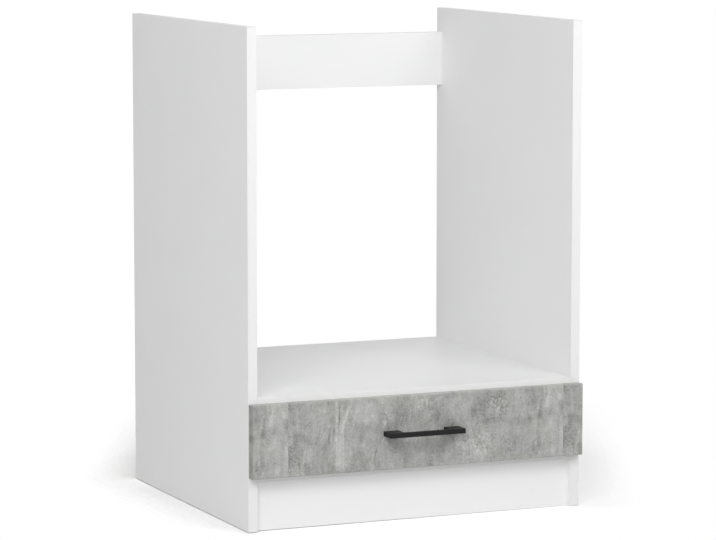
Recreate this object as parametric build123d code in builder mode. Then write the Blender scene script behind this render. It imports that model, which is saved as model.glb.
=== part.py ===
from build123d import *
from collections import namedtuple
import math
import os

# Oven base cabinet: a white flat-pack carcass with an open oven niche over one drawer.
# Millimetres. +X runs to the right, +Y to the back, +Z up. The front faces -Y.
# The origin is on the floor, below the middle of the whole object's box.

# Heights of the carcass, from the floor up
glide_thickness = 1
plinth_height = 80
drawer_opening = 108
niche_height = 600

# Widths and depths of the carcass
cabinet_width = 600
side_depth = 540
board = 16
edge_band = 0.8
plinth_recess = 10
stretcher_height = 95
stretcher_drop = 43
stretcher_inset = 5

# Nail-in glides under the side panels
glide_diameter = 14
glide_end_distance = 45
nail_diameter = 2
nail_length = 15
nail_head_diameter = 5
nail_head_height = 0.5
nail_head_play = 0.1
glide_chamfer = 0.3

# Knock-down fittings: cam locks, their bolts, and wooden dowels
cam_diameter = 15
cam_floor = 3.5
cam_inset = 34
cam_cavity_radius = 6.2
cam_cavity_height = 7.6
cam_slot_width = 5
cross_length = 7
cross_width = 1.4
cross_depth = 1.5
bolt_shaft_diameter = 4.4
bolt_bore_diameter = 7.2
bolt_head_diameter = 7
bolt_head_height = 2.4
bolt_head_reach = 5
bolt_thread_diameter = 5
bolt_thread_length = 11
dowel_diameter = 8
dowel_length = 30
dowel_in_panel = 10
dowel_chamfer = 1
fixing_end_distance = 60
dowel_to_cam = 64
stretcher_fixing_spread = 44
plinth_fixing_spread = 36

# Drawer front and handle
front_thickness = 16
front_reveal = 1
front_overlap = 6.5
front_gap = 0.5
front_edge_radius = 2
handle_length = 136
handle_height = 8
handle_reach = 29
handle_bar_depth = 7
handle_foot_width = 27
handle_hole_spacing = 128
handle_corner_radius = 1.5
handle_edge_radius = 0.5
handle_screw_diameter = 4
handle_screw_head = 8
handle_screw_head_height = 2.4
handle_screw_grip = 6
handle_thread_depth = 9

# Drawer box
drawer_board = 16
drawer_depth = 500
drawer_side_height = 80
drawer_bottom_thickness = 3
drawer_bottom_lift = 10
groove_depth = 7
groove_play = 0.2
drawer_cam_height = 45
drawer_dowel_spread = 42
drawer_travel = 375

# Roller runners: steel channels on the carcass, steel rails on the drawer
runner_steel = 1
runner_gap = 12.5
channel_setback = 2
channel_lift = 10
channel_flange_width = 10.5
channel_nose_length = 24
channel_entry_length = 60
channel_head_play = 1
rail_height = 17
rail_outer_flange = 9
rail_inner_flange = 14
rail_top_play = 0.5
front_roller_diameter = 15
rear_roller_diameter = 16
roller_width = 7
roller_rim = 1.6
roller_hub = 7.4
roller_hollow = 1.4
roller_crown = 0.5
roller_end_distance = 12
roller_play = 0.3
roller_side_play = 0.1
pin_diameter = 4
pin_head_diameter = 7
pin_head_height = 0.6
pin_shoulder_height = 0.8
stop_height = 2
stop_length = 3
stop_play = 0.5

# Screws
runner_screw_diameter = 3.5
runner_screw_length = 13
runner_screw_head = 6.5
runner_screw_head_height = 1.4
runner_screw_from_front = 37
runner_screw_from_rear = 50
head_crown = 0.7
driver_slot = 0.2
driver_sink = 0.6
back_screw_diameter = 4
back_screw_length = 40
back_screw_head = 8
back_screw_low = 36
back_screw_high = 64
bottom_screw_diameter = 3
bottom_screw_length = 16
bottom_screw_head = 6
bottom_screw_head_height = 1.4
bottom_screw_end_distance = 75

# Clearance of a pin, screw or fitting in its bore, round it and beyond its end
bore_clearance = 0.05
bore_slack = 0.5

# Levels and planes that follow from the sizes above
side_height = plinth_height + 2 * board + drawer_opening + niche_height
top_z = glide_thickness + side_height
base_underside = glide_thickness + plinth_height
base_top = base_underside + board
shelf_underside = base_top + drawer_opening
shelf_top = shelf_underside + board
overall_depth = side_depth + front_gap + front_thickness + handle_reach
rear_y = overall_depth / 2
front_y = rear_y - side_depth
half_width = cabinet_width / 2
inner_half = half_width - board
stretcher_top = top_z - stretcher_drop
stretcher_rear = rear_y - stretcher_inset
plinth_front = front_y + plinth_recess

# Drawer planes: the front's back face is where the box starts
box_front = front_y - front_gap
front_face = box_front - front_thickness
front_low = base_top - front_overlap
front_high = shelf_underside + front_overlap
front_middle = (front_low + front_high) / 2
box_rear = box_front + drawer_depth
box_half = inner_half - runner_gap
box_inner_half = box_half - drawer_board

# Both halves of a runner are as long as the drawer, with three screws each
runner_length = drawer_depth
last_screw = runner_length - runner_screw_from_rear
runner_screw_places = (runner_screw_from_front, (runner_screw_from_front + last_screw) / 2, last_screw)

# Runner levels: the rear roller rolls on the channel's floor and the rail on the front roller
channel_low = base_top + channel_lift
channel_floor = channel_low + runner_steel
channel_roof = channel_floor + rear_roller_diameter + channel_head_play
channel_high = channel_roof + runner_steel
channel_middle = (channel_low + channel_high) / 2
channel_front = front_y + channel_setback
rail_top = channel_roof - rail_top_play
rail_low = rail_top - rail_height
box_low = rail_low + runner_steel
box_high = box_low + drawer_side_height
rear_roller_z = channel_floor + roller_play + rear_roller_diameter / 2
front_roller_z = rail_top - runner_steel - roller_play - front_roller_diameter / 2
front_roller_y = channel_front + roller_end_distance
rear_roller_y = box_front + runner_length - roller_end_distance
drawer_floor_low = box_low + drawer_bottom_lift
drawer_floor_high = drawer_floor_low + drawer_bottom_thickness
drawer_groove_high = drawer_floor_high + groove_play

LEFT, RIGHT = -1, 1
SIDES = {"left": LEFT, "right": RIGHT}
DOWN = Vector(0, 0, -1)
BACK = Vector(0, 1, 0)
FORWARD = Vector(0, -1, 0)
ON_BASE = (Align.CENTER, Align.CENTER, Align.MIN)
UNDER_TOP = (Align.CENTER, Align.CENTER, Align.MAX)
Fixings = namedtuple("Fixings", "cams dowels thickness")


def save(builder, name):
    """Label a finished piece and write it to its own file."""
    builder.part.label = name
    export_step(builder.part, f"parts/{name}.step")


def block(low, high, mode=Mode.ADD):
    """Add or cut a box between two opposite corners."""
    middle = tuple((a + b) / 2 for a, b in zip(low, high))
    sides = [b - a for a, b in zip(low, high)]
    with Locations(middle):
        Box(*sides, mode=mode)


def facing(planes):
    """The same places, looking back out of the panel that they point into."""
    return [Plane(origin=plane.origin, z_dir=-plane.z_dir) for plane in planes]


def sunk(planes, depth):
    """The same places, moved into the surface that they look out of."""
    return [plane.offset(-depth) for plane in planes]


def on_side(planes, side):
    """The planes that lie on one side of the cabinet's middle."""
    return [plane for plane in planes if plane.origin.X * side > 0]


def one_side(fixings, side):
    """The fixings that lie on one side of the cabinet's middle."""
    return Fixings(on_side(fixings.cams, side), on_side(fixings.dowels, side), fixings.thickness)


def bore_board(fixings):
    """Bolt holes, cam seats and dowel holes in the ends of a board."""
    with Locations(*fixings.cams):
        Hole(bolt_bore_diameter / 2, depth=cam_inset)
    for plane in fixings.cams:
        seat = plane.origin - plane.z_dir * cam_inset + plane.x_dir * (fixings.thickness / 2)
        with Locations(Plane(origin=seat, z_dir=plane.x_dir)):
            Hole(cam_diameter / 2 + bore_clearance, depth=fixings.thickness - cam_floor)
    with Locations(*fixings.dowels):
        Hole(dowel_diameter / 2 + bore_clearance, depth=dowel_length - dowel_in_panel + bore_slack)


def bore_panel(fixings):
    """The holes that take the bolts and dowels in the panel that a board butts against."""
    with Locations(*facing(fixings.cams)):
        Hole(bolt_thread_diameter / 2 + bore_clearance, depth=bolt_thread_length + bore_slack)
    with Locations(*facing(fixings.dowels)):
        Hole(dowel_diameter / 2 + bore_clearance, depth=dowel_in_panel + bore_slack)


def end_fixings(cam_points, dowel_points, mouth):
    """Fixings at both ends of a cross board, whose cams are let in from the mouth side."""
    def planes(points):
        return [
            Plane(origin=(side * inner_half, y, z), x_dir=mouth, z_dir=(side, 0, 0))
            for side in (LEFT, RIGHT)
            for y, z in points
        ]

    return Fixings(planes(cam_points), planes(dowel_points), board)


# Fixing points as (y, z) in the middle of each cross board's thickness
def level_board_fixings(middle_z):
    """Two cams near the corners of each end of a lying board, with a dowel inside each."""
    cam_ys = (front_y + fixing_end_distance, rear_y - fixing_end_distance)
    dowel_ys = (cam_ys[0] + dowel_to_cam, cam_ys[1] - dowel_to_cam)
    return end_fixings([(y, middle_z) for y in cam_ys], [(y, middle_z) for y in dowel_ys], DOWN)


def upright_board_fixings(middle_y, low, high, spread):
    """A cam over a dowel at each end of a standing board, with the cams at its back."""
    middle_z = (low + high) / 2
    cam = (middle_y, middle_z + spread / 2)
    dowel = (middle_y, middle_z - spread / 2)
    return end_fixings([cam], [dowel], BACK)


shelf_fixings = level_board_fixings(shelf_top - board / 2)
base_fixings = level_board_fixings(base_top - board / 2)
stretcher_fixings = upright_board_fixings(
    stretcher_rear - board / 2, stretcher_top - stretcher_height, stretcher_top, stretcher_fixing_spread
)
plinth_fixings = upright_board_fixings(
    plinth_front + board / 2, glide_thickness, base_underside, plinth_fixing_spread
)
carcass_fixings = (shelf_fixings, base_fixings, stretcher_fixings, plinth_fixings)


def drawer_front_fixings():
    """A cam between two dowels at the front end of each drawer side."""
    def planes(height):
        return [
            Plane(
                origin=(side * (box_half - drawer_board / 2), box_front, box_low + height),
                x_dir=(-side, 0, 0),
                z_dir=FORWARD,
            )
            for side in (LEFT, RIGHT)
        ]

    half_spread = drawer_dowel_spread / 2
    dowels = planes(drawer_cam_height - half_spread) + planes(drawer_cam_height + half_spread)
    return Fixings(planes(drawer_cam_height), dowels, drawer_board)


drawer_fixings = drawer_front_fixings()


# Screw places: each plane lies where the head's underside rests and looks out of the surface
def channel_screw_planes(side):
    web_face = inner_half - runner_steel
    return [
        Plane(origin=(side * web_face, channel_front + place, channel_middle), z_dir=(-side, 0, 0))
        for place in runner_screw_places
    ]


def rail_screw_planes(side):
    web_face = box_half + runner_steel
    return [
        Plane(origin=(side * web_face, box_front + place, channel_middle), z_dir=(side, 0, 0))
        for place in runner_screw_places
    ]


def back_screw_planes(side):
    middle_y = box_rear - drawer_board / 2
    return [
        Plane(origin=(side * box_half, middle_y, box_low + height), z_dir=(side, 0, 0))
        for height in (back_screw_low, back_screw_high)
    ]


outer_bottom_screw = box_inner_half - bottom_screw_end_distance
bottom_screw_planes = [
    Plane(origin=(x, box_rear - drawer_board / 2, drawer_floor_low), z_dir=DOWN)
    for x in (-outer_bottom_screw, 0, outer_bottom_screw)
]
handle_screw_planes = [
    Plane(origin=(x, box_front, front_middle), z_dir=BACK)
    for x in (-handle_hole_spacing / 2, handle_hole_spacing / 2)
]
glide_planes = [
    Plane(origin=(side * (half_width - board / 2), y, 0), z_dir=DOWN)
    for side in (LEFT, RIGHT)
    for y in (front_y + glide_end_distance, rear_y - glide_end_distance)
]


def turned(points):
    """A solid of revolution about Z from a closed outline of (radius, z) points."""
    with BuildPart() as solid:
        with BuildSketch(Plane.XZ):
            with BuildLine():
                Polyline(*points, close=True)
            make_face()
        revolve(axis=Axis.Z)
    return solid.part


def cross_recess(head_radius, depth, top):
    """The crossed driver slots sunk into a head whose top is at the given height."""
    length = head_radius
    width = head_radius * driver_slot
    with Locations((0, 0, top - depth)):
        Box(length, width, depth, align=ON_BASE, mode=Mode.SUBTRACT)
        Box(width, length, depth, align=ON_BASE, mode=Mode.SUBTRACT)


def pan_screw(diameter, length, head_diameter, head_height):
    """A pan head screw: the head's underside at z = 0, the shank pointing down."""
    radius = diameter / 2
    head = head_diameter / 2
    outline = [
        (0, -length),
        (radius, -length + diameter),
        (radius, 0),
        (head, 0),
        (head, head_height / 2),
        (head * head_crown, head_height),
        (0, head_height),
    ]
    with BuildPart() as screw:
        add(turned(outline))
        cross_recess(head, head_height * driver_sink, head_height)
    return screw.part


def countersunk_screw(diameter, length, head_diameter):
    """A countersunk screw: the top of its head at z = 0, the shank pointing down."""
    radius = diameter / 2
    head = head_diameter / 2
    cone = head - radius
    outline = [(0, -length), (radius, -length + diameter), (radius, -cone), (head, 0), (0, 0)]
    with BuildPart() as screw:
        add(turned(outline))
        cross_recess(head, cone * driver_sink, 0)
    return screw.part


def cam_lock(thickness):
    """A cam: a turned housing let into the board, hollow where it grips its bolt's head."""
    top = thickness / 2
    height = thickness - cam_floor
    across = Plane(origin=(top - height, 0, -cam_inset), x_dir=(0, 1, 0), z_dir=(1, 0, 0))
    cavity_start = -cam_cavity_height / 2
    with BuildPart() as cam:
        with BuildSketch(across):
            Circle(cam_diameter / 2)
        extrude(amount=height)
        with BuildSketch(across.offset(cavity_start - (top - height))):
            Circle(cam_cavity_radius)
        extrude(amount=cam_cavity_height, mode=Mode.SUBTRACT)
        block(
            (cavity_start, -cam_slot_width / 2, -cam_inset),
            (-cavity_start, cam_slot_width / 2, -cam_inset + cam_diameter),
            mode=Mode.SUBTRACT,
        )
        half_cross = cross_length / 2
        half_slot = cross_width / 2
        for wide, tall in ((half_cross, half_slot), (half_slot, half_cross)):
            block(
                (top - cross_depth, -wide, -cam_inset - tall),
                (top, wide, -cam_inset + tall),
                mode=Mode.SUBTRACT,
            )
    return cam.part


def cam_bolt():
    """A cam bolt: thread above z = 0 in the panel, shaft and head below it in the board."""
    shaft = bolt_shaft_diameter / 2
    head = bolt_head_diameter / 2
    thread = bolt_thread_diameter / 2
    head_top = bolt_head_reach - cam_inset
    head_low = head_top - bolt_head_height
    return turned([
        (0, head_low),
        (head * head_crown, head_low),
        (head, head_low + bolt_head_height / 2),
        (head, head_top),
        (shaft, head_top),
        (shaft, 0),
        (thread, 0),
        (thread, bolt_thread_length - thread),
        (0, bolt_thread_length),
    ])


def dowel():
    """A wooden dowel across the joint at z = 0, chamfered at both ends."""
    radius = dowel_diameter / 2
    low = dowel_in_panel - dowel_length
    with BuildPart() as peg:
        with Locations((0, 0, low)):
            Cylinder(radius, dowel_length, align=ON_BASE)
        chamfer(peg.edges().filter_by(GeomType.CIRCLE), dowel_chamfer)
    return peg.part


def group(name, piece, places):
    """Save one node that holds a copy of a piece at each of its places."""
    with BuildPart() as copies:
        with Locations(*places):
            add(piece)
    save(copies, name)


def roller_pin():
    """A riveted axle: its tail at z = 0 in the steel web, then shoulder, journal and head."""
    web = runner_steel
    shoulder = web + pin_shoulder_height
    journal = shoulder + roller_width + 2 * roller_side_play
    tip = journal + pin_head_height
    thin = pin_diameter / 2
    thick = pin_head_diameter / 2
    return turned([
        (0, 0),
        (thin, 0),
        (thin, web),
        (thick, web),
        (thick, shoulder),
        (thin, shoulder),
        (thin, journal),
        (thick, journal),
        (thick, tip),
        (0, tip),
    ])


def roller_wheel(diameter):
    """A nylon roller about Z, with a hollowed face between hub and rim at each end."""
    outer = diameter / 2
    hub = roller_hub / 2
    rim = outer - roller_rim
    bore = pin_diameter / 2 + bore_clearance
    return turned([
        (bore, 0),
        (hub, 0),
        (hub, roller_hollow),
        (rim, roller_hollow),
        (rim, 0),
        (outer - roller_crown, 0),
        (outer, roller_crown),
        (outer, roller_width - roller_crown),
        (outer - roller_crown, roller_width),
        (rim, roller_width),
        (rim, roller_width - roller_hollow),
        (hub, roller_width - roller_hollow),
        (hub, roller_width),
        (bore, roller_width),
    ])


def front_pin_plane(side):
    """Where a front roller's axle leaves the channel's web, looking towards the drawer."""
    return Plane(origin=(side * inner_half, front_roller_y, front_roller_z), z_dir=(-side, 0, 0))


def rear_pin_plane(side):
    """Where a rear roller's axle leaves the rail's web, looking towards the side panel."""
    return Plane(origin=(side * box_half, rear_roller_y, rear_roller_z), z_dir=(side, 0, 0))


def make_side_panel(name, side):
    """A full-height side board without its edge bands, with all its bores."""
    outer = side * half_width
    inner = side * inner_half
    with BuildPart() as panel:
        block(
            (min(outer, inner), front_y + edge_band, glide_thickness),
            (max(outer, inner), rear_y, top_z - edge_band),
        )
        for fixings in carcass_fixings:
            bore_panel(one_side(fixings, side))
        with Locations(*sunk(channel_screw_planes(side), runner_steel)):
            Hole(runner_screw_diameter / 2 + bore_clearance, depth=runner_screw_length)
        with Locations(*sunk(on_side(glide_planes, side), glide_thickness)):
            Hole(nail_diameter / 2 + bore_clearance, depth=nail_length)
    save(panel, name)


def make_level_board(name, top, fixings):
    """A lying board between the sides, banded at its front edge."""
    with BuildPart() as lying:
        block((-inner_half, front_y + edge_band, top - board), (inner_half, rear_y, top))
        bore_board(fixings)
    save(lying, name)


def make_carcass_boards():
    """The two sides, the base, the oven shelf, the stretcher and the plinth."""
    for word, side in SIDES.items():
        make_side_panel(f"side_panel_{word}", side)
    make_level_board("bottom_panel", base_top, base_fixings)
    make_level_board("oven_shelf", shelf_top, shelf_fixings)

    with BuildPart() as stretcher:
        block(
            (-inner_half, stretcher_rear - board, stretcher_top - stretcher_height + edge_band),
            (inner_half, stretcher_rear, stretcher_top - edge_band),
        )
        bore_board(stretcher_fixings)
    save(stretcher, "rear_stretcher")

    with BuildPart() as plinth:
        block(
            (-inner_half, plinth_front, glide_thickness),
            (inner_half, plinth_front + board, base_underside),
        )
        bore_board(plinth_fixings)
    save(plinth, "plinth")


def make_edge_bands():
    """Thin plastic bands glued to the edges that show."""
    with BuildPart() as side_bands:
        for side in (LEFT, RIGHT):
            low_x, high_x = sorted((side * half_width, side * inner_half))
            block((low_x, front_y, glide_thickness), (high_x, front_y + edge_band, top_z - edge_band))
    save(side_bands, "side_front_edge_bands")

    with BuildPart() as top_bands:
        for side in (LEFT, RIGHT):
            low_x, high_x = sorted((side * half_width, side * inner_half))
            block((low_x, front_y, top_z - edge_band), (high_x, rear_y, top_z))
    save(top_bands, "side_top_edge_bands")

    with BuildPart() as board_bands:
        for top in (base_top, shelf_top):
            block((-inner_half, front_y, top - board), (inner_half, front_y + edge_band, top))
    save(board_bands, "board_front_edge_bands")

    low = stretcher_top - stretcher_height
    with BuildPart() as stretcher_bands:
        for band_low in (low, stretcher_top - edge_band):
            block(
                (-inner_half, stretcher_rear - board, band_low),
                (inner_half, stretcher_rear, band_low + edge_band),
            )
    save(stretcher_bands, "stretcher_edge_bands")


def make_glides():
    """Round plastic glides under the sides, each held by a nail in its sunk middle."""
    head_seat = nail_head_height + nail_head_play
    with BuildPart() as glide:
        Cylinder(glide_diameter / 2, glide_thickness, align=UNDER_TOP)
        chamfer(glide.edges().group_by(Axis.Z)[-1], glide_chamfer)
        CounterBoreHole(
            nail_diameter / 2 + bore_clearance, nail_head_diameter / 2 + nail_head_play, head_seat
        )
    with BuildPart() as nail:
        with Locations((0, 0, -head_seat)):
            Cylinder(nail_diameter / 2, nail_length, align=UNDER_TOP)
            Cylinder(nail_head_diameter / 2, nail_head_height, align=ON_BASE)
    group("floor_glides", glide.part, glide_planes)
    group("glide_nails", nail.part, glide_planes)


def make_channel(name, side):
    """The carcass half of a runner: a C-shaped steel channel, cut back at its front end."""
    web = side * inner_half
    web_face = side * (inner_half - runner_steel)
    flange_tip = side * (inner_half - channel_flange_width)
    web_x = sorted((web, web_face))
    flange_x = sorted((web_face, flange_tip))
    rear = channel_front + runner_length
    stop_reach = math.sqrt(
        (rear_roller_diameter / 2) ** 2 - (rear_roller_diameter / 2 + roller_play - stop_height) ** 2
    )
    stop_rear = rear_roller_y - drawer_travel - stop_reach - stop_play
    with BuildPart() as channel:
        block((web_x[0], channel_front, channel_low), (web_x[1], rear, channel_high))
        block(
            (flange_x[0], channel_front + channel_nose_length, channel_low),
            (flange_x[1], rear, channel_floor),
        )
        block(
            (flange_x[0], channel_front + channel_entry_length, channel_roof),
            (flange_x[1], rear, channel_high),
        )
        block(
            (flange_x[0], stop_rear - stop_length, channel_floor),
            (flange_x[1], stop_rear, channel_floor + stop_height),
        )
        nose = channel.edges().filter_by(Axis.X).group_by(Axis.Y)[0]
        fillet(nose, (channel_high - channel_low) / 4)
        with Locations(*channel_screw_planes(side)):
            Hole(runner_screw_diameter / 2 + bore_clearance, depth=runner_steel)
        with Locations(front_pin_plane(side).offset(runner_steel)):
            Hole(pin_diameter / 2 + bore_clearance, depth=runner_steel)
    save(channel, name)


def make_rail(name, side):
    """The drawer half of a runner: a Z-shaped steel rail under and beside the drawer side."""
    web = side * box_half
    web_face = side * (box_half + runner_steel)
    outer_tip = side * (box_half + runner_steel + rail_outer_flange)
    inner_tip = side * (box_half - rail_inner_flange)
    web_x = sorted((web, web_face))
    outer_x = sorted((web_face, outer_tip))
    inner_x = sorted((web, inner_tip))
    rear = box_front + runner_length
    flange_end = rear_roller_y - rear_roller_diameter / 2 - 2 * runner_steel
    with BuildPart() as rail:
        block((web_x[0], box_front, rail_low), (web_x[1], rear, rail_top))
        block((outer_x[0], box_front, rail_top - runner_steel), (outer_x[1], flange_end, rail_top))
        block((inner_x[0], box_front, rail_low), (inner_x[1], rear, box_low))
        with Locations(*rail_screw_planes(side)):
            Hole(runner_screw_diameter / 2 + bore_clearance, depth=runner_steel)
        with Locations(rear_pin_plane(side).offset(runner_steel)):
            Hole(pin_diameter / 2 + bore_clearance, depth=runner_steel)
    save(rail, name)


def make_runners():
    """Channels, rails, rollers, axles and their screws, on both sides."""
    pin = roller_pin()
    wheel_start = runner_steel + pin_shoulder_height + roller_side_play
    for word, side in SIDES.items():
        make_channel(f"runner_channel_{word}", side)
        make_rail(f"runner_rail_{word}", side)
        wheels = (
            ("front", front_roller_diameter, front_pin_plane(side)),
            ("rear", rear_roller_diameter, rear_pin_plane(side)),
        )
        for place, diameter, plane in wheels:
            group(f"{place}_roller_{word}", roller_wheel(diameter), [plane.offset(wheel_start)])
    group("front_roller_pins", pin, [front_pin_plane(side) for side in (LEFT, RIGHT)])
    group("rear_roller_pins", pin, [rear_pin_plane(side) for side in (LEFT, RIGHT)])
    screw = pan_screw(
        runner_screw_diameter, runner_screw_length, runner_screw_head, runner_screw_head_height
    )
    group("channel_screws", screw, channel_screw_planes(LEFT) + channel_screw_planes(RIGHT))
    group("rail_screws", screw, rail_screw_planes(LEFT) + rail_screw_planes(RIGHT))


def groove_for_bottom():
    """Cut the slot that the thin drawer bottom slides into, in the sides and the front."""
    reach = box_inner_half + groove_depth
    block(
        (-reach, box_front - groove_depth, drawer_floor_low),
        (reach, box_rear, drawer_groove_high),
        mode=Mode.SUBTRACT,
    )


def make_drawer_front():
    """The decorative front, rounded round its face, bored for the box and the handle."""
    half = half_width - front_reveal
    with BuildPart() as front:
        block((-half, front_face, front_low), (half, box_front, front_high))
        fillet(front.faces().sort_by(Axis.Y)[0].edges(), front_edge_radius)
        groove_for_bottom()
        bore_panel(drawer_fixings)
        with Locations(*handle_screw_planes):
            Hole(handle_screw_diameter / 2 + bore_clearance, depth=front_thickness)
    save(front, "drawer_front")


def make_drawer_box():
    """Two grooved sides, a back that stands on the bottom, and the thin bottom."""
    for word, side in SIDES.items():
        low_x, high_x = sorted((side * box_half, side * box_inner_half))
        with BuildPart() as drawer_side:
            block((low_x, box_front, box_low), (high_x, box_rear, box_high - edge_band))
            groove_for_bottom()
            bore_board(one_side(drawer_fixings, side))
            with Locations(*sunk(rail_screw_planes(side), runner_steel)):
                Hole(runner_screw_diameter / 2 + bore_clearance, depth=runner_screw_length)
            with Locations(*back_screw_planes(side)):
                CounterSinkHole(
                    back_screw_diameter / 2 + bore_clearance,
                    back_screw_head / 2 + bore_clearance,
                    depth=drawer_board,
                    counter_sink_angle=90,
                )
        save(drawer_side, f"drawer_side_{word}")

    with BuildPart() as back:
        block(
            (-box_inner_half, box_rear - drawer_board, drawer_floor_high),
            (box_inner_half, box_rear, box_high - edge_band),
        )
        for side in (LEFT, RIGHT):
            with Locations(*back_screw_planes(side)):
                Hole(back_screw_diameter / 2 + bore_clearance, depth=back_screw_length + bore_slack)
        with Locations(*bottom_screw_planes):
            Hole(bottom_screw_diameter / 2 + bore_clearance, depth=bottom_screw_length + bore_slack)
    save(back, "drawer_back")

    reach = box_inner_half + groove_depth - groove_play
    with BuildPart() as bottom:
        block(
            (-reach, box_front - groove_depth + groove_play, drawer_floor_low),
            (reach, box_rear, drawer_floor_high),
        )
        with Locations(*bottom_screw_planes):
            Hole(bottom_screw_diameter / 2 + bore_clearance, depth=drawer_bottom_thickness)
    save(bottom, "drawer_bottom")

    with BuildPart() as bands:
        for side in (LEFT, RIGHT):
            low_x, high_x = sorted((side * box_half, side * box_inner_half))
            block((low_x, box_front, box_high - edge_band), (high_x, box_rear, box_high))
    save(bands, "drawer_side_edge_bands")

    with BuildPart() as back_band:
        block(
            (-box_inner_half, box_rear - drawer_board, box_high - edge_band),
            (box_inner_half, box_rear, box_high),
        )
    save(back_band, "drawer_back_edge_band")


def make_handle():
    """A flat bar bent into a bracket: two broad feet and a slim grip between them."""
    half = handle_length / 2
    inner = half - handle_foot_width
    tip = front_face - handle_reach
    grip_back = tip + handle_bar_depth
    outline = (
        (-half, front_face),
        (-half, tip),
        (half, tip),
        (half, front_face),
        (inner, front_face),
        (inner, grip_back),
        (-inner, grip_back),
        (-inner, front_face),
    )
    with BuildPart() as handle:
        with BuildSketch(Plane.XY.offset(front_middle - handle_height / 2)):
            with BuildLine():
                Polyline(*outline, close=True)
            make_face()
        extrude(amount=handle_height)
        uprights = handle.edges().filter_by(Axis.Z)
        fillet(uprights.filter_by(lambda edge: edge.center().Y < front_face - 1), handle_corner_radius)
        rims = handle.faces().filter_by(Plane.XY).edges()
        fillet(rims.filter_by(lambda edge: edge.center().Y < front_face - 1), handle_edge_radius)
        with Locations(*sunk(handle_screw_planes, front_thickness)):
            Hole(handle_screw_diameter / 2 + bore_clearance, depth=handle_thread_depth)
    save(handle, "handle")


def make_fittings():
    """Every cam, bolt, dowel and screw, each kind as one group of separate pieces."""
    carcass_cams = [plane for fixings in carcass_fixings for plane in fixings.cams]
    carcass_dowels = [plane for fixings in carcass_fixings for plane in fixings.dowels]
    group("carcass_cam_locks", cam_lock(board), carcass_cams)
    group("carcass_cam_bolts", cam_bolt(), carcass_cams)
    group("carcass_dowels", dowel(), carcass_dowels)
    group("drawer_cam_locks", cam_lock(drawer_board), drawer_fixings.cams)
    group("drawer_cam_bolts", cam_bolt(), drawer_fixings.cams)
    group("drawer_dowels", dowel(), drawer_fixings.dowels)
    back_screw = countersunk_screw(back_screw_diameter, back_screw_length, back_screw_head)
    group("drawer_back_screws", back_screw, back_screw_planes(LEFT) + back_screw_planes(RIGHT))
    bottom_screw = pan_screw(
        bottom_screw_diameter, bottom_screw_length, bottom_screw_head, bottom_screw_head_height
    )
    group("drawer_bottom_screws", bottom_screw, bottom_screw_planes)
    handle_screw = pan_screw(
        handle_screw_diameter,
        front_thickness + handle_screw_grip,
        handle_screw_head,
        handle_screw_head_height,
    )
    group("handle_screws", handle_screw, handle_screw_planes)


os.makedirs("parts", exist_ok=True)
make_carcass_boards()
make_edge_bands()
make_glides()
make_runners()
make_drawer_front()
make_drawer_box()
make_handle()
make_fittings()
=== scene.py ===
import math
import bpy
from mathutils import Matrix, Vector


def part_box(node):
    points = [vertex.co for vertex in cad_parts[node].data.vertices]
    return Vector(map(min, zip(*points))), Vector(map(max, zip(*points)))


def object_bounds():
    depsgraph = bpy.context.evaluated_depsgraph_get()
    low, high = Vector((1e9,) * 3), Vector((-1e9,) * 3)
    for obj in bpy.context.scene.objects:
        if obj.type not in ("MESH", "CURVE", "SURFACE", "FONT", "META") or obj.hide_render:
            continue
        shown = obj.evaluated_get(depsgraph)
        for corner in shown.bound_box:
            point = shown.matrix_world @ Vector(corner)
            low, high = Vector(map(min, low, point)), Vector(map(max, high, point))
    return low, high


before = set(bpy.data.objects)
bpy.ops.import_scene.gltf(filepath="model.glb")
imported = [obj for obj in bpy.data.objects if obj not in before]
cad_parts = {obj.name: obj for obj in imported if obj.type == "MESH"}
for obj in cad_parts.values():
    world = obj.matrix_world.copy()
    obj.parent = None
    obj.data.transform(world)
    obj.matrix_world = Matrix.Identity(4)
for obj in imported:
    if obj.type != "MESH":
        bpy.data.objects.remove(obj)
cad_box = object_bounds()

# The photograph's width and its focal length, in pixels
frame_width = 716
focal_pixels = 3402.3

# The camera: place in metres, angles in degrees, sensor in millimetres
camera_place = (-2.3023, -5.3009, 1.0843)
camera_azimuth = 23.484
camera_tilt = 6.858
sensor_width = 36

# Studio lamps, square and soft: place and size in metres, power in watts
lamps = {
    "lamp_left": ((-2.0, -3.0, 2.6), 2.2, 74),
    "lamp_right": ((0.6, -1.6, 1.6), 1.0, 11.5),
}

# The point above the shelf that the lamps are aimed at
lamp_aim = (0.0, 0.0, 0.3)

# Soft light of the room, where 1 is white: from all round, added from the left, and as it is seen
room_even = 0.3
room_left = 0.177
room_shown = 1.0

# The floor: half its width in metres, its white where it lights the object, and where it is seen
floor_half = 4.0
floor_white = 0.85
floor_shown = 1.48
floor_roughness = 0.9

# Painted shade: the seen floor is darker by a share from the object's left side on, standing in for the
# shadow along that side. The soft edge of that region lies outside the left side, to both sides of the
# front, and from outside to inside the rear
painted_floor_shade = 0.2
painted_shade_left = 0.15
painted_shade_front = 0.05
painted_shade_rear = (0.05, 0.15)

# The floor's shadow is kept near the object and behind it. It leans to the right with the depth,
# ends over soft edges, fades with the distance, and keeps a share at the object's right side
shadow_lean = 0.46
shadow_edge = 0.11
shadow_front_edge = 0.3
shadow_fades_from = 0.35
shadow_fades_to = 1.25
shadow_right_share = 0.45

# Rounding of edges, in metres: edge bands, the shelf's and bottom's front bands, steel, castings
band_round = 0.0003
shelf_round = 0.0007
steel_round = 0.0002
casting_round = 0.0002
round_steps = 3

# Corners closer than this many metres are one, and an edge is sharp from this many degrees on
weld_distance = 1e-6
sharp_angle = 50

# The melamine film on a board's two wide faces, in metres. It is also the margin within which
# something counts as lying at a face
film = 0.00015

# Chipboard: how flat its chips are, its roughness, and the film's relief as a share of its own
chip_flatness = 2.6
chip_roughness = 0.85
pearl_relief = 0.03

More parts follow.
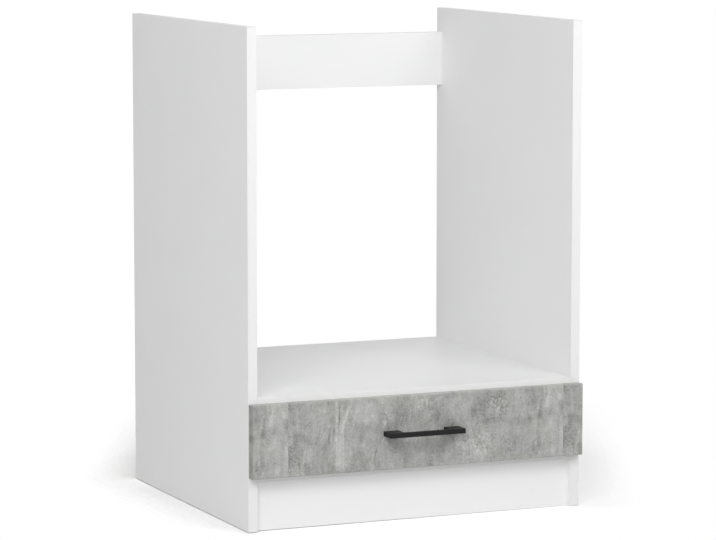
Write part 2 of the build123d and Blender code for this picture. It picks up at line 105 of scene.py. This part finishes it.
# Beech: how far its grain and its flecks are drawn out along the dowel, and how much the flecks show
grain_drawn = 0.08
fleck_drawn = 0.2
fleck_share = 0.5

# Colours of the finishes. A pair holds the two shades that a finish varies between
melamine_white = ((0.89, 0.893, 0.893), (0.908, 0.909, 0.907))
chip_brown = ((0.31, 0.205, 0.11), (0.73, 0.55, 0.345))
band_white = ((0.86, 0.862, 0.859), (0.873, 0.874, 0.871))
concrete_dark = ((0.186, 0.187, 0.18), (0.186, 0.188, 0.172))
concrete_light = ((0.672, 0.676, 0.661), (0.672, 0.678, 0.637))
fibre_brown = ((0.20, 0.115, 0.055), (0.36, 0.23, 0.12))
paint_white = ((0.80, 0.80, 0.79), (0.84, 0.84, 0.83))
powder_black = ((0.007, 0.007, 0.0075), (0.013, 0.013, 0.0135))
epoxy_white = ((0.79, 0.79, 0.775), (0.83, 0.83, 0.815))
nylon_white = ((0.74, 0.71, 0.64), (0.84, 0.82, 0.77))
plastic_white = ((0.74, 0.74, 0.73), (0.55, 0.55, 0.54))
zinc_grey = ((0.34, 0.345, 0.355), (0.56, 0.565, 0.575))
plating_tint = ((0.60, 0.64, 0.70), (0.72, 0.69, 0.60))
beech_brown = ((0.50, 0.33, 0.19), (0.72, 0.53, 0.35))
beech_fleck = (0.33, 0.19, 0.10)

# The concrete print repeats along the drawer front, with a seam at each end of its run, in metres
print_start = -0.237
print_end = 0.262

# A shift, in metres, to a part of the noise that the print doesn't use otherwise
print_shift = (0.3, 0, 0.5)

# Upright streaks of the print: place across, lowest and highest level, width, lean per metre up
light_streaks = (
    (-0.1515, 0.088, 0.2, 0.0035, 0.0),
    (-0.1455, 0.086, 0.168, 0.006, 0.0),
    (-0.14, 0.09, 0.165, 0.003, 0.0),
    (-0.1515, 0.172, 0.222, 0.006, 0.0),
    (-0.133, 0.155, 0.226, 0.009, 0.45),
    (-0.137, 0.15, 0.2, 0.004, 0.3),
    (-0.121, 0.15, 0.2, 0.0025, 0.3),
    (-0.209, 0.1, 0.142, 0.0025, 0.15),
    (0.2325, 0.165, 0.216, 0.006, 0.0),
    (0.2255, 0.186, 0.216, 0.003, 0.0),
    (0.2535, 0.186, 0.2, 0.006, -0.3),
    (0.258, 0.09, 0.15, 0.006, 0.0),
)
dark_streaks = (
    (-0.1465, 0.172, 0.202, 0.002, 0.0),
    (-0.164, 0.136, 0.172, 0.003, 0.1),
    (-0.157, 0.138, 0.17, 0.003, 0.1),
    (0.221, 0.15, 0.202, 0.007, 0.12),
    (0.207, 0.1, 0.125, 0.003, 0.1),
    (-0.083, 0.1, 0.13, 0.002, 0.3),
)

# Soft patches of the print: middle across and up, width and height
light_patches = (
    (0.244, 0.19, 0.04, 0.045),
    (0.248, 0.14, 0.036, 0.07),
    (0.237, 0.107, 0.04, 0.016),
    (-0.177, 0.196, 0.012, 0.012),
    (-0.1, 0.188, 0.05, 0.04),
    (0.07, 0.185, 0.05, 0.04),
    (-0.14, 0.12, 0.03, 0.06),
)
dark_patches = (
    (-0.224, 0.12, 0.034, 0.05),
    (-0.205, 0.102, 0.014, 0.022),
    (-0.22, 0.152, 0.036, 0.022),
    (0.105, 0.18, 0.03, 0.03),
    (0.143, 0.193, 0.06, 0.04),
    (0.13, 0.16, 0.05, 0.013),
    (0.18, 0.156, 0.06, 0.016),
    (0.205, 0.17, 0.03, 0.04),
    (0.2155, 0.13, 0.011, 0.065),
)

# Patches where the print has its pits, and where it has its light flecks
pitted_patches = (
    (0.14, 0.188, 0.06, 0.055),
    (0.095, 0.122, 0.06, 0.05),
    (-0.222, 0.12, 0.04, 0.05),
    # This pitted patch under the handle's left foot is partly the print's pits and partly painted shadow
    # of the handle
    (-0.06, 0.12, 0.04, 0.035),
)
flecked_patches = (
    (0.1, 0.122, 0.07, 0.055),
    (0.14, 0.187, 0.035, 0.03),
    (-0.064, 0.175, 0.02, 0.03),
    (0.005, 0.195, 0.03, 0.02),
)

# How far each kind of mark lightens or darkens the print, and how far the painted light and shade do
hair_lighter = 0.27
crack_darker = 0.25
worn_pit_darker = 0.1
# Painted light on the drawer front's top face, and painted shade on its left end face
painted_top_light = 0.25
painted_left_end_shade = 0.14
streak_lighter = 0.24
streak_darker = 0.28
patch_lighter = 0.13
patch_darker = 0.16
pit_darker = 0.3
fleck_lighter = 0.36

# The print's shade is lowered and then divided by these, so that it lies between its colours
print_lowered = 1.17
print_range = 1.3

# The middle that a noise varies about
noise_middle = 0.5

# Streaks: how far they sway, in metres, the share of their length that fades at each end, and the
# shares of their width where they start to fade and where they are gone
streak_sway = 0.01
streak_fade = 0.2
streak_core = 0.2
streak_rim = 0.8

# Patches: how ragged they are, and the squared shares of their radius where they start to fade and
# where they are gone
patch_ragged = 1.8
patch_core = 0.2
patch_rim = 1.3


class Nodes:
    """A node tree that is filled with short calls."""

    def __init__(self, tree):
        self.nodes = tree.nodes
        self.links = tree.links

    def feed(self, socket, value):
        """Link a socket to another node's output, or set it to a number or colour."""
        if isinstance(value, bpy.types.NodeSocket):
            self.links.new(value, socket)
        elif isinstance(value, (tuple, list)) and socket.type == "RGBA":
            socket.default_value = (*value, 1)
        else:
            socket.default_value = value

    def add(self, kind, settings=None, **inputs):
        """Add a node with its settings, and feed the inputs that are named."""
        node = self.nodes.new(kind)
        for name, value in (settings or {}).items():
            setattr(node, name, value)
        for name, value in inputs.items():
            self.feed(node.inputs[name.replace("_", " ")], value)
        return node

    def math(self, operation, *values):
        """One arithmetic operation on its values in order."""
        node = self.add("ShaderNodeMath", {"operation": operation})
        for socket, value in zip(node.inputs, values):
            self.feed(socket, value)
        return node.outputs[0]

    def total(self, *terms):
        """The sum of (value, weight) terms and plain numbers."""
        result = 0.0
        for term in terms:
            if isinstance(term, tuple):
                result = self.math("MULTIPLY_ADD", *term, result)
            else:
                result = self.math("ADD", result, term)
        return result

    def product(self, first, *others):
        """Values multiplied with each other."""
        result = first
        for other in others:
            result = self.math("MULTIPLY", result, other)
        return result

    def remainder(self, share):
        """What a share leaves of 1."""
        return self.math("SUBTRACT", 1.0, share)

    def rise(self, value, low, high, start=0.0, end=1.0):
        """A smooth step of a value between two levels."""
        node = self.add("ShaderNodeMapRange", {"interpolation_type": "SMOOTHSTEP"})
        for socket, given in zip(node.inputs, (value, low, high, start, end)):
            self.feed(socket, given)
        return node.outputs["Result"]

    def fall(self, value, low, high):
        """A smooth step down, from 1 to 0."""
        return self.rise(value, low, high, start=1.0, end=0.0)

    def blend(self, share, first, second):
        """A colour between two others."""
        node = self.add("ShaderNodeMix", {"data_type": "RGBA"})
        self.feed(node.inputs["Factor"], share)
        colours = [socket for socket in node.inputs if socket.type == "RGBA"]
        for socket, value in zip(colours, (first, second)):
            self.feed(socket, value)
        return next(socket for socket in node.outputs if socket.type == "RGBA")

    def seen(self):
        """Whether the camera, a mirror-like surface or a clear one looks here."""
        rays = self.add("ShaderNodeLightPath").outputs
        reflected = self.math("MAXIMUM", rays["Is Glossy Ray"], rays["Is Transmission Ray"])
        return self.math("MAXIMUM", rays["Is Camera Ray"], reflected)


class Finish(Nodes):
    """A material. Places are in metres, as in the CAD."""

    def __init__(self, name):
        self.material = bpy.data.materials.new(name)
        self.material.use_nodes = True
        super().__init__(self.material.node_tree)
        self.shader = self.nodes["Principled BSDF"]
        self.place = self.add("ShaderNodeTexCoord").outputs["Object"]
        self.x, self.y, self.z = self.add("ShaderNodeSeparateXYZ", Vector=self.place).outputs

    def stretch(self, factors, shift=(0, 0, 0)):
        """The place, scaled along each axis and moved, so that a texture is drawn out or squeezed."""
        return self.add("ShaderNodeMapping", Vector=self.place, Location=shift, Scale=factors).outputs[0]

    def stretch_along(self, axis, factor):
        """The place, scaled along one axis."""
        return self.stretch([factor if number == axis else 1.0 for number in range(3)])

    def noise(self, size, detail=3.0, roughness=0.5, distortion=0.0, place=None):
        """Cloudy noise about its middle, whose largest features have the given size in metres."""
        node = self.add(
            "ShaderNodeTexNoise", Vector=self.place if place is None else place, Scale=1 / size,
            Detail=detail, Roughness=roughness, Distortion=distortion,
        )
        return node.outputs[0]

    def cells(self, size, place, output="Distance"):
        """Scattered points, as the distance to the nearest one or its random colour."""
        return self.add("ShaderNodeTexVoronoi", Vector=place, Scale=1 / size).outputs[output]

    def ridge(self, value, width):
        """Thin lines, where a noise passes its middle."""
        return self.fall(self.math("ABSOLUTE", self.math("SUBTRACT", value, noise_middle)), 0, width)

    def streak(self, sway, ragged, x, low, high, width, lean=0.0):
        """An upright ragged mark that sways about its line, and leans by lean per metre."""
        foot = x - lean * (low + high) / 2 - streak_sway * noise_middle
        middle = self.total((self.z, lean), (sway, streak_sway), foot)
        off = self.math("ABSOLUTE", self.math("SUBTRACT", self.x, middle))
        off = self.total((ragged, width), off, -width * noise_middle)
        fade = (high - low) * streak_fade
        upper = self.fall(self.z, high - fade, high)
        lower = self.rise(self.z, low, low + fade)
        across = self.fall(off, width * streak_core, width * streak_rim)
        return self.product(upper, lower, across)

    def patch(self, ragged, x, z, width, height):
        """A soft round mark with a ragged edge."""
        off_x = self.product(self.math("SUBTRACT", self.x, x), 2 / width)
        off_z = self.product(self.math("SUBTRACT", self.z, z), 2 / height)
        off = self.math("ADD", self.math("POWER", off_x, 2.0), self.math("POWER", off_z, 2.0))
        off = self.total((ragged, patch_ragged), off, -patch_ragged * noise_middle)
        return self.fall(off, patch_core, patch_rim)

    def relief(self, height, depth):
        """Bump the surface by a height of 0 to 1 times the depth in metres."""
        node = self.add("ShaderNodeBump", Height=height, Distance=depth, Strength=1.0)
        self.feed(self.shader.inputs["Normal"], node.outputs[0])

    def surface(self, **inputs):
        """Set the shader's own sockets."""
        for name, value in inputs.items():
            self.feed(self.shader.inputs[name.replace("_", " ")], value)
        return self.material


def melamine(finish):
    """The film's colour, gloss and relief: white, satin, with a fine pearl."""
    colour = finish.blend(finish.noise(size=0.25, detail=2), *melamine_white)
    pearl = finish.noise(size=0.0011, detail=2)
    smear = finish.noise(size=0.09, detail=5, roughness=0.65)
    gloss = finish.rise(smear, 0.3, 0.75, start=0.40, end=0.50)
    return colour, gloss, pearl


def raw_chips(finish, axis):
    """The colour and relief of bare chipboard, whose flakes lie flat, square to the axis."""
    squeezed = finish.stretch_along(axis, chip_flatness)
    tone = finish.cells(size=0.0032, place=squeezed, output="Color")
    flake = finish.add("ShaderNodeSeparateXYZ", Vector=tone).outputs[0]
    speck = finish.noise(size=0.0009, detail=4, roughness=0.7, place=squeezed)
    gap = finish.rise(finish.cells(size=0.0026, place=squeezed), 0.45, 0.75)
    shade = finish.total((flake, 0.6), (speck, 0.7), (gap, -0.45), -0.15)
    colour = finish.blend(finish.rise(shade, 0.0, 0.9), *chip_brown)
    return colour, shade


def board_finish(node):
    """Melamine on a board's two wide faces, and bare chipboard on its edges and in its bores."""
    low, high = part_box(node)
    size = high - low
    axis = min(range(3), key=lambda number: size[number])
    finish = Finish(f"white_board_{node}")
    along = (finish.x, finish.y, finish.z)[axis]
    off_middle = finish.math("ABSOLUTE", finish.math("SUBTRACT", along, (low[axis] + high[axis]) / 2))
    core = finish.math("LESS_THAN", off_middle, size[axis] / 2 - film)
    white, gloss, pearl = melamine(finish)
    chips, shade = raw_chips(finish, axis)
    height = finish.total((finish.product(core, shade), 1.0), (pearl, pearl_relief))
    finish.relief(height, depth=0.0004)
    roughness = finish.math("MAXIMUM", gloss, finish.product(core, chip_roughness))
    return finish.surface(Base_Color=finish.blend(core, white, chips), Roughness=roughness)


def band_finish():
    """Plastic edge band: the boards' white, a little glossier, with a faint grain."""
    finish = Finish("white_edge_band")
    colour = finish.blend(finish.noise(size=0.12, detail=2), *band_white)
    finish.relief(finish.noise(size=0.0008, detail=3), depth=0.00002)
    return finish.surface(Base_Color=colour, Roughness=0.36)


def fine_marks(finish, cloud, pit, elsewhere):
    """Hair lines, cracks and pits all over the print, with how far each lightens it."""
    drawn = finish.stretch((1.0, 1.0, 0.35))
    hair = finish.ridge(
        finish.noise(size=0.03, detail=3, roughness=0.6, distortion=0.7, place=drawn), width=0.014
    )
    crack = finish.ridge(
        finish.noise(size=0.045, detail=4, roughness=0.6, distortion=0.9, place=elsewhere), width=0.01
    )
    broken = finish.rise(finish.noise(size=0.012, detail=2), 0.45, 0.6)
    worn = finish.fall(cloud, 0.42, 0.55)
    return [
        (finish.product(hair, broken), hair_lighter),
        (finish.product(crack, broken), -crack_darker),
        (finish.product(pit, worn), -worn_pit_darker),
    ]


def placed_marks(finish, pit, elsewhere):
    """Streaks, patches, pits and flecks at their own places, with how far each lightens the print."""
    ragged = finish.noise(size=0.012, detail=4, roughness=0.65, place=elsewhere)
    sway = finish.noise(size=0.022, detail=3, place=finish.stretch((0.15, 1, 1)))
    fleck = finish.rise(finish.noise(size=0.0045, detail=2, place=finish.stretch((1, 1, 0.8))), 0.5, 0.6)
    marks = []
    for share, streaks in ((streak_lighter, light_streaks), (-streak_darker, dark_streaks)):
        marks += [(finish.streak(sway, ragged, *streak), share) for streak in streaks]
    for share, patches in ((patch_lighter, light_patches), (-patch_darker, dark_patches)):
        marks += [(finish.patch(ragged, *patch), share) for patch in patches]
    scattered = ((pit, -pit_darker, pitted_patches), (fleck, fleck_lighter, flecked_patches))
    for mark, share, patches in scattered:
        marked = finish.total(*[(finish.patch(ragged, *patch), 1.0) for patch in patches])
        marks.append((finish.product(mark, marked), share))
    return marks


def concrete_finish():
    """A foil printed like trowelled concrete: blotches, upright veins, pits and worn patches, with painted
    light on its top face and painted shade on its left end face.
    """
    low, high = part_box("drawer_front")
    finish = Finish("concrete_look_board")
    # Painted light on the top face and painted shade on the left end face
    painted_light_bands = [
        (finish.math("GREATER_THAN", finish.z, high.z - film), painted_top_light),
        (finish.math("LESS_THAN", finish.x, low.x + film), -painted_left_end_shade),
    ]
    finish.x = finish.math("WRAP", finish.x, print_end, print_start)
    finish.place = finish.add("ShaderNodeCombineXYZ", X=finish.x, Y=finish.y, Z=finish.z).outputs[0]
    elsewhere = finish.stretch((1, 1, 1), shift=print_shift)
    cloud = finish.noise(size=0.065, detail=2)
    blotch = finish.noise(size=0.016, detail=6, roughness=0.64, distortion=0.4)
    stroke = finish.noise(size=0.009, detail=5, roughness=0.65, place=finish.stretch((1.0, 1.0, 0.3)))
    grain = finish.noise(size=0.003, detail=3, roughness=0.8)
    pit = finish.fall(finish.noise(size=0.0042, detail=2, place=elsewhere), 0.32, 0.42)
    marks = [*fine_marks(finish, cloud, pit, elsewhere), *painted_light_bands, *placed_marks(finish, pit, elsewhere)]
    clouds = ((cloud, 0.6), (blotch, 0.8), (stroke, 0.75), (grain, 1.2))
    shade = finish.product(finish.total(*clouds, *marks, -print_lowered), 1 / print_range)
    tint = finish.rise(finish.noise(size=0.045, detail=2, place=elsewhere), 0.45, 0.66)
    colour = finish.blend(shade, finish.blend(tint, *concrete_dark), finish.blend(tint, *concrete_light))
    finish.relief(shade, depth=0.00013)
    return finish.surface(Base_Color=colour, Roughness=finish.rise(blotch, 0.3, 0.7, start=0.52, end=0.66))


def fibreboard_finish():
    """Thin fibreboard: painted white on top, brown and fibrous elsewhere."""
    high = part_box("drawer_bottom")[1]
    finish = Finish("white_fibreboard")
    painted = finish.math("GREATER_THAN", finish.z, high.z - film)
    fibres = finish.noise(size=0.004, detail=6, roughness=0.7, place=finish.stretch((1.0, 0.4, 1.0)))
    brown = finish.blend(finish.rise(fibres, 0.3, 0.7), *fibre_brown)
    white = finish.blend(finish.noise(size=0.2, detail=2), *paint_white)
    finish.relief(fibres, depth=0.00008)
    gloss = finish.rise(painted, 0, 1, start=0.7, end=0.5)
    return finish.surface(Base_Color=finish.blend(painted, brown, white), Roughness=gloss)


def powder_coat_finish():
    """Matt black powder coat with its fine orange peel."""
    finish = Finish("black_metal")
    peel = finish.noise(size=0.0007, detail=2)
    colour = finish.blend(finish.noise(size=0.006, detail=4), *powder_black)
    finish.relief(peel, depth=0.00004)
    gloss = finish.rise(peel, 0.2, 0.8, start=0.42, end=0.56)
    return finish.surface(Base_Color=colour, Roughness=gloss, Specular_IOR_Level=0.2)


def coated_steel_finish():
    """White epoxy coat on sheet steel, slightly glossy."""
    finish = Finish("white_coated_steel")
    colour = finish.blend(finish.noise(size=0.04, detail=3), *epoxy_white)
    finish.relief(finish.noise(size=0.002, detail=2), depth=0.00003)
    return finish.surface(Base_Color=colour, Roughness=0.3)


def nylon_finish():
    """Natural nylon: milky, with faint flow marks."""
    finish = Finish("nylon")
    colour = finish.blend(finish.noise(size=0.003, detail=4, distortion=1.0), *nylon_white)
    finish.relief(finish.noise(size=0.0004, detail=2), depth=0.00001)
    return finish.surface(
        Base_Color=colour, Roughness=0.38, Subsurface_Weight=0.15, Subsurface_Radius=(0.002, 0.002, 0.001)
    )


def moulded_plastic_finish():
    """Moulded white plastic of the glides, greyer where it is scuffed."""
    finish = Finish("white_plastic")
    scuff = finish.noise(size=0.002, detail=5, roughness=0.7)
    colour = finish.blend(finish.rise(scuff, 0.45, 0.8), *plastic_white)
    finish.relief(scuff, depth=0.00002)
    return finish.surface(Base_Color=colour, Roughness=0.5)


def die_cast_finish():
    """Die-cast zinc: dull grey, with a cast skin."""
    finish = Finish("zinc_alloy")
    skin = finish.noise(size=0.0012, detail=5, roughness=0.7)
    finish.relief(skin, depth=0.00006)
    gloss = finish.rise(skin, 0.2, 0.8, start=0.38, end=0.6)
    return finish.surface(Base_Color=finish.blend(skin, *zinc_grey), Metallic=1.0, Roughness=gloss)


def zinc_plate_finish():
    """Bright zinc plating, with the faint blue and straw tints of its passivation."""
    finish = Finish("zinc_plated_steel")
    tint = finish.noise(size=0.006, detail=3, distortion=0.8)
    colour = finish.blend(finish.rise(tint, 0.3, 0.7), *plating_tint)
    finish.relief(finish.noise(size=0.0006, detail=3), depth=0.00002)
    return finish.surface(Base_Color=colour, Metallic=1.0, Roughness=0.28)


def beech_finish(name, axis):
    """Plain beech: grain along the dowel's axis, with short darker flecks."""
    finish = Finish(name)
    drawn = finish.stretch_along(axis, grain_drawn)
    grain = finish.noise(size=0.0012, detail=5, roughness=0.6, place=drawn)
    cells = finish.cells(size=0.0011, place=finish.stretch_along(axis, fleck_drawn))
    fleck = finish.product(finish.fall(cells, 0.12, 0.3), fleck_share)
    colour = finish.blend(fleck, finish.blend(grain, *beech_brown), beech_fleck)
    finish.relief(grain, depth=0.00008)
    return finish.surface(Base_Color=colour, Roughness=0.62)


def dress(nodes, material):
    """Give CAD nodes a material."""
    for name in nodes:
        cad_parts[name].data.materials[0] = material


def round_edges(name, width, chosen=None):
    """Round a CAD node's sharp edges, or only those between the chosen corners."""
    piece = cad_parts[name]
    weld = piece.modifiers.new("weld", "WELD")
    weld.merge_threshold = weld_distance
    rounding = piece.modifiers.new("rounding", "BEVEL")
    rounding.width = width
    rounding.segments = round_steps
    rounding.use_clamp_overlap = False
    rounding.harden_normals = True
    rounding.limit_method = "ANGLE"
    rounding.angle_limit = math.radians(sharp_angle)
    if chosen:
        corners = piece.vertex_groups.new(name="rounded")
        corners.add([v.index for v in piece.data.vertices if chosen(v.co)], 1.0, "REPLACE")
        rounding.limit_method = "VGROUP"
        rounding.vertex_group = corners.name


def at_front(name):
    """Choose the corners at a node's front."""
    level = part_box(name)[0].y
    return lambda corner: corner.y < level + film


def at_top(name):
    """Choose the corners at a node's top."""
    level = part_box(name)[1].z
    return lambda corner: corner.z > level - film


white_boards = (
    "side_panel_left", "side_panel_right", "bottom_panel", "oven_shelf", "rear_stretcher", "plinth",
    "drawer_side_left", "drawer_side_right", "drawer_back",
)
front_bands = {"side_front_edge_bands": band_round, "board_front_edge_bands": shelf_round}
top_bands = ("side_top_edge_bands", "drawer_side_edge_bands", "drawer_back_edge_band")
sheet_steel = ("runner_channel_left", "runner_channel_right", "runner_rail_left", "runner_rail_right")
rollers = ("front_roller_left", "front_roller_right", "rear_roller_left", "rear_roller_right")
cast_zinc = ("carcass_cam_locks", "drawer_cam_locks")
plated_steel = (
    "carcass_cam_bolts", "drawer_cam_bolts", "glide_nails", "front_roller_pins", "rear_roller_pins",
    "channel_screws", "rail_screws", "drawer_back_screws", "drawer_bottom_screws", "handle_screws",
)

for board in white_boards:
    dress([board], board_finish(board))
dress([*front_bands, *top_bands, "stretcher_edge_bands"], band_finish())
dress(["drawer_front"], concrete_finish())
dress(["drawer_bottom"], fibreboard_finish())
dress(["handle"], powder_coat_finish())
dress(sheet_steel, coated_steel_finish())
dress(rollers, nylon_finish())
dress(["floor_glides"], moulded_plastic_finish())
dress(cast_zinc, die_cast_finish())
dress(plated_steel, zinc_plate_finish())
dress(["carcass_dowels"], beech_finish("beech_across", 0))
dress(["drawer_dowels"], beech_finish("beech_lengthways", 1))

for name, width in front_bands.items():
    round_edges(name, width, at_front(name))
for name in top_bands:
    round_edges(name, band_round, at_top(name))
for name in sheet_steel:
    round_edges(name, steel_round)
for name in cast_zinc:
    round_edges(name, casting_round)


def floor_colour(finish, seen):
    """White, and brighter where it is seen, except under the object, with painted shade beside the
    object's left side.
    """
    low, high = cad_box
    spans = ((finish.x, low[0], high[0]), (finish.y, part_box("plinth")[0].y, high[1]))
    under = finish.product(*[
        finish.math("COMPARE", level, (start + end) / 2, (end - start) / 2) for level, start, end in spans
    ])
    # Painted shade on the seen floor along the object's left side
    painted_shade = finish.product(
        finish.rise(finish.x, low[0] - painted_shade_left, low[0]),
        finish.rise(finish.y, low[1] - painted_shade_front, low[1] + painted_shade_front),
        finish.rise(finish.y, high[1] + painted_shade_rear[0], high[1] - painted_shade_rear[1]),
    )
    shown = finish.total(floor_shown, (painted_shade, -painted_floor_shade * floor_shown))
    return finish.blend(finish.product(seen, finish.remainder(under)), [floor_white] * 3, shown)


def floor_alpha(finish, seen):
    """Solid, but clear where it is seen away from the object's shadow."""
    low, high = cad_box
    past_front = finish.math("MAXIMUM", finish.total(finish.y, -low[1]), 0.0)
    past_rear = finish.math("MAXIMUM", finish.total(finish.y, -high[1]), 0.0)
    left = finish.total((finish.x, -1.0), (past_rear, shadow_lean), low[0])
    right = finish.total(finish.x, (past_front, -shadow_lean), -high[0])
    front_scale = shadow_edge / shadow_front_edge
    front = finish.total((finish.y, -front_scale), low[1] * front_scale)
    off = finish.math("MAXIMUM", finish.math("MAXIMUM", left, right), front)
    away = finish.total(finish.y, (finish.x, shadow_lean))
    shadow = finish.product(
        finish.fall(off, 0.0, shadow_edge),
        finish.fall(away, shadow_fades_from, shadow_fades_to),
        finish.rise(finish.x, low[0], high[0], start=1.0, end=shadow_right_share),
    )
    return finish.remainder(finish.product(seen, finish.remainder(shadow)))


def make_floor():
    """A pale floor that keeps the object's shadow and clears to the white room around it."""
    mesh = bpy.data.meshes.new("floor")
    corners = [(x * floor_half, y * floor_half, 0) for x, y in ((-1, -1), (1, -1), (1, 1), (-1, 1))]
    mesh.from_pydata(corners, [], [(0, 1, 2, 3)])
    floor = bpy.data.objects.new("floor", mesh)
    bpy.context.scene.collection.objects.link(floor)
    finish = Finish("floor")
    seen = finish.seen()
    colour = floor_colour(finish, seen)
    alpha = floor_alpha(finish, seen)
    mesh.materials.append(
        finish.surface(Base_Color=colour, Alpha=alpha, Roughness=floor_roughness, Specular_IOR_Level=0.0)
    )


def make_room():
    """Soft light from all round. The camera and mirror-like surfaces see a white room."""
    world = bpy.data.worlds.new("room")
    world.use_nodes = True
    bpy.context.scene.world = world
    room = Nodes(world.node_tree)
    direction = room.add("ShaderNodeTexCoord").outputs["Generated"]
    across = room.add("ShaderNodeSeparateXYZ", Vector=direction).outputs[0]
    to_left = room.math("MAXIMUM", room.product(across, -1.0), 0.0)
    level = room.total((to_left, room_left), room_even)
    strength = room.math("MULTIPLY_ADD", room.seen(), room.math("SUBTRACT", room_shown, level), level)
    white = room.nodes["Background"]
    room.feed(white.inputs["Color"], (1, 1, 1))
    room.feed(white.inputs["Strength"], strength)


def make_lamp(name, place, size, power):
    """A square lamp that the camera doesn't see."""
    lamp = bpy.data.lights.new(name, "AREA")
    lamp.shape = "SQUARE"
    lamp.size = size
    lamp.energy = power
    holder = bpy.data.objects.new(name, lamp)
    holder.location = place
    aim = Vector(lamp_aim) - Vector(place)
    holder.rotation_euler = aim.to_track_quat("-Z", "Y").to_euler()
    holder.visible_camera = False
    bpy.context.scene.collection.objects.link(holder)


def make_camera():
    """The photograph's camera, which looks down a little."""
    lens = bpy.data.cameras.new("camera")
    lens.sensor_width = sensor_width
    lens.lens = focal_pixels / frame_width * sensor_width
    camera = bpy.data.objects.new("camera", lens)
    camera.location = camera_place
    camera.rotation_euler = (math.radians(90 - camera_tilt), 0, math.radians(-camera_azimuth))
    bpy.context.scene.collection.objects.link(camera)
    bpy.context.scene.camera = camera


make_floor()
make_room()
for name, (place, size, power) in lamps.items():
    make_lamp(name, place, size, power)
make_camera()
bpy.context.scene.view_settings.view_transform = "Standard"
